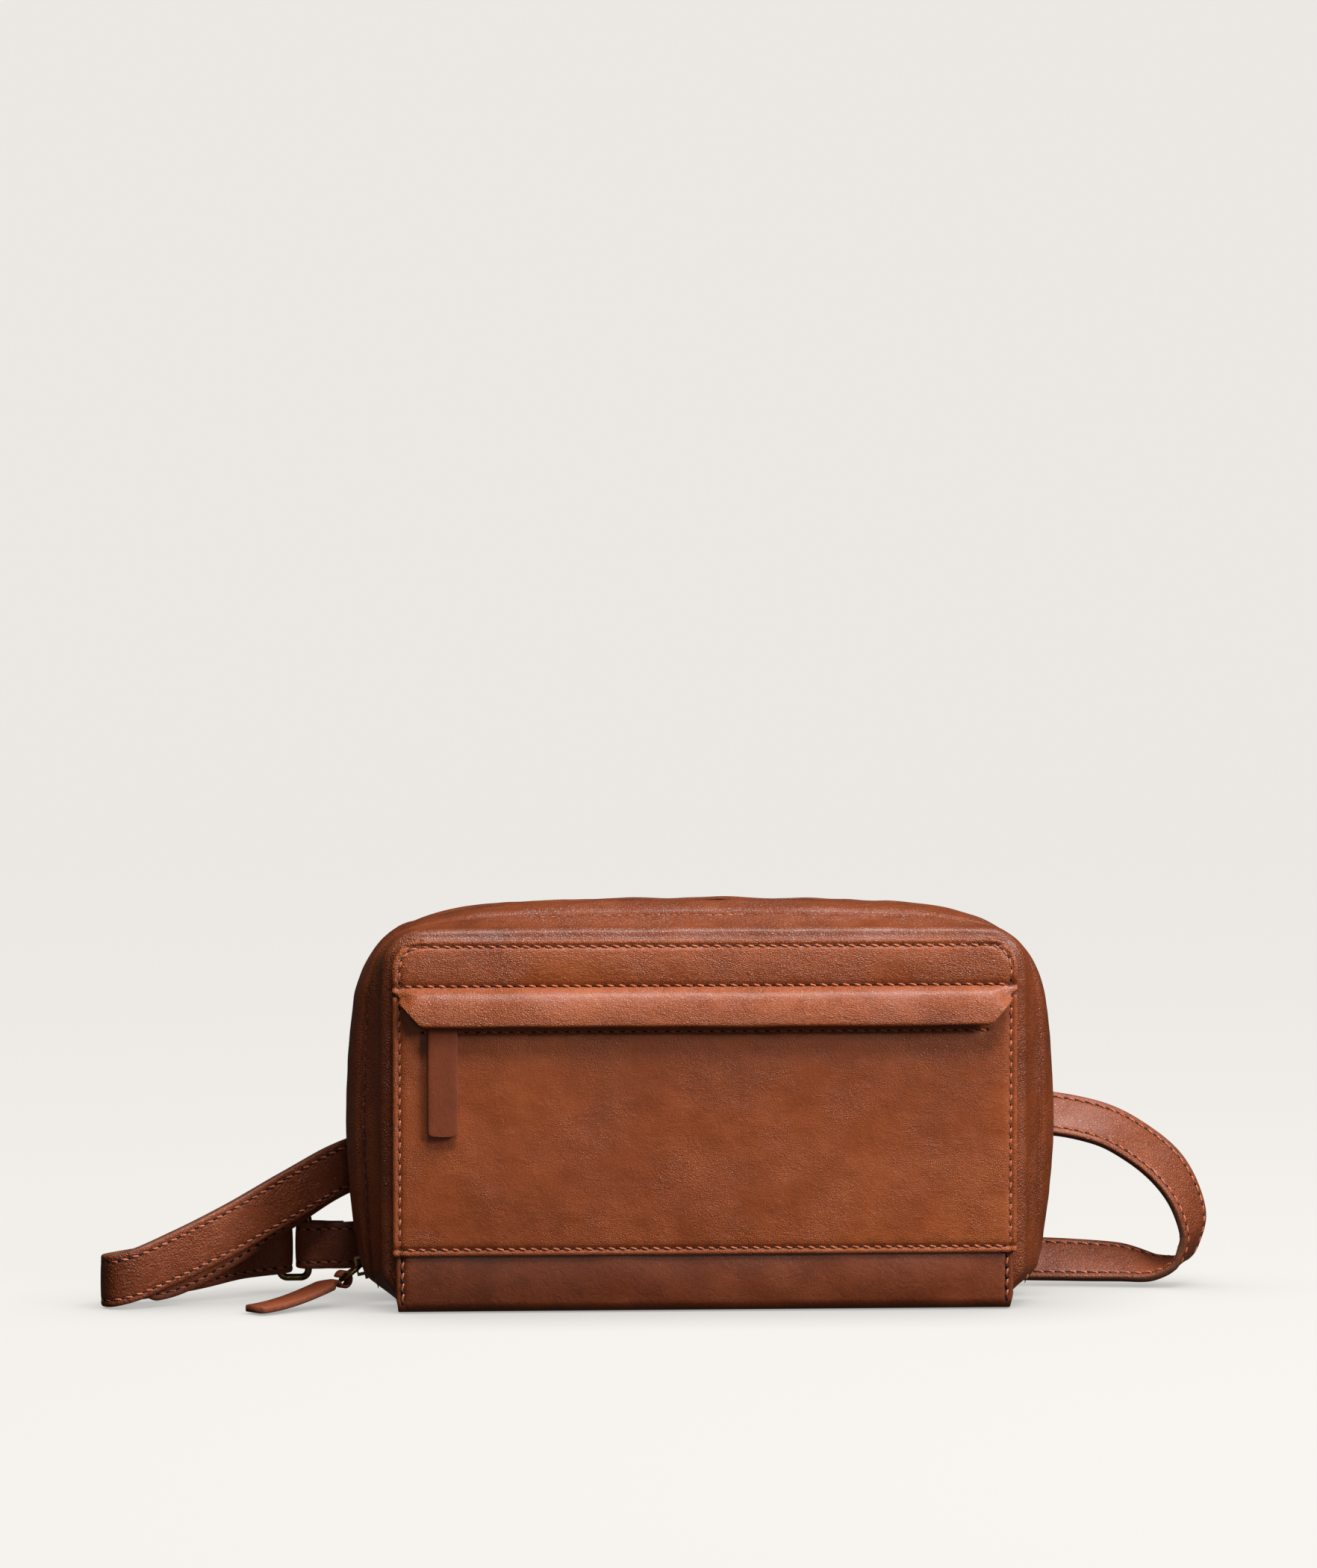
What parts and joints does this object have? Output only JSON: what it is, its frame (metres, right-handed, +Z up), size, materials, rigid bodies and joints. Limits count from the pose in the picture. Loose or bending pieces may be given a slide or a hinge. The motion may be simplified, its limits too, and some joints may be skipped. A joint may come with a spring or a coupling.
{
  "type": "waist pack",
  "caption": "Leather waist pack with a flap-covered zip pocket, a clamshell main zip and a buckled belt with a folded-back tail.",
  "frame": {"origin": "middle of the base, on the surface that the pack stands on", "axes": "+X along the pack's width, +Y from the zip pocket to the back panel, +Z up"},
  "size_m": [0.3886, 0.0846, 0.1382],
  "materials": {
    "tan_leather": "semi-gloss smooth leather",
    "dark_leather": "semi-gloss smooth leather",
    "strap_leather": "pebbled leather with painted edges",
    "pull_leather": "smooth leather",
    "zip_tape": "woven tape",
    "zip_teeth": "dark antique",
    "antique_brass": "dark antique",
    "lining_cloth": "plain cotton twill",
    "stiffener_board": "plain board",
    "foam": "closed-cell foam sheet"
  },
  "bodies": {
    "pack_back": {"back_panel": "tan_leather", "back_padding": "foam", "back_lining": "lining_cloth", "back_gusset": "dark_leather", "main_zip_tape_back": "zip_tape", "main_zip_teeth_back": "zip_teeth", "slip_pocket": "lining_cloth", "base_panel": "dark_leather", "base_stiffener": "stiffener_board", "base_lining": "lining_cloth", "belt_ring": "antique_brass", "belt_tab_left": "strap_leather", "belt_strap_left": "strap_leather", "belt_strap_right": "strap_leather", "buckle_frame": "antique_brass", "fixed_keeper": "strap_leather"},
    "front_cover": {"pocket_panel": "tan_leather", "top_strip": "tan_leather", "bottom_band": "dark_leather", "front_backing": "stiffener_board", "pocket_zip_tape_lower": "zip_tape", "pocket_zip_tape_upper": "zip_tape", "pocket_zip_teeth_lower": "zip_teeth", "pocket_zip_teeth_upper": "zip_teeth", "pocket_zip_stop_left": "antique_brass", "pocket_zip_stop_right": "antique_brass", "pocket_lining": "lining_cloth", "front_lining": "lining_cloth", "front_gusset": "dark_leather", "main_zip_tape_front": "zip_tape", "main_zip_teeth_front": "zip_teeth"},
    "flap": {"pocket_flap": "tan_leather"},
    "zip_slider": {"pocket_slider": "antique_brass"},
    "zip_pull": {"pocket_pull_link": "antique_brass", "pocket_pull": "pull_leather"},
    "main_zip_slider": {"main_slider": "antique_brass"},
    "main_ring": {"main_pull_link": "antique_brass"},
    "main_leather_pull": {"main_pull": "pull_leather"},
    "prong": {"buckle_prong": "antique_brass"},
    "loose_keeper": {"sliding_keeper": "strap_leather"}
  },
  "joints": [
    {"name": "cover_open", "type": "hinge", "parent": "pack_back", "child": "front_cover", "pos_m": [0, -0.0297, 0.00175], "axis": [1, 0, 0], "range_deg": [0, 75]},
    {"name": "flap_lift", "type": "hinge", "parent": "front_cover", "child": "flap", "pos_m": [0, -0.0316, 0.11085], "axis": [-1, 0, 0], "range_deg": [0, 60]},
    {"name": "pocket_zip_run", "type": "slide", "parent": "front_cover", "child": "zip_slider", "axis": [1, 0, 0], "range_m": [0, 0.178]},
    {"name": "pocket_pull_swing", "type": "hinge", "parent": "zip_slider", "child": "zip_pull", "pos_m": [-0.0895, -0.033, 0.1025], "axis": [0, 1, 0], "range_deg": [-40, 40]},
    {"name": "main_zip_run", "type": "hinge", "parent": "pack_back", "child": "main_zip_slider", "pos_m": [0.1385, 0, 0.066], "axis": [0, 1, 0], "range_deg": [0, 18]},
    {"name": "main_ring_lift", "type": "hinge", "parent": "main_zip_slider", "child": "main_ring", "pos_m": [-0.11726, 0, 0.01274], "axis": [0, 1, 0], "range_deg": [0, 60]},
    {"name": "main_pull_lift", "type": "hinge", "parent": "main_ring", "child": "main_leather_pull", "pos_m": [-0.12326, -0.0027, 0.00839], "axis": [-0.6428, 0.766, 0], "range_deg": [0, 45]},
    {"name": "prong_lift", "type": "hinge", "parent": "pack_back", "child": "prong", "pos_m": [-0.024, 0.0385, 0.05], "axis": [0, 0, 1], "range_deg": [0, 8]},
    {"name": "keeper_slide", "type": "slide", "parent": "pack_back", "child": "loose_keeper", "axis": [-1, 0, 0], "range_m": [0, 0.012]}
  ]
}
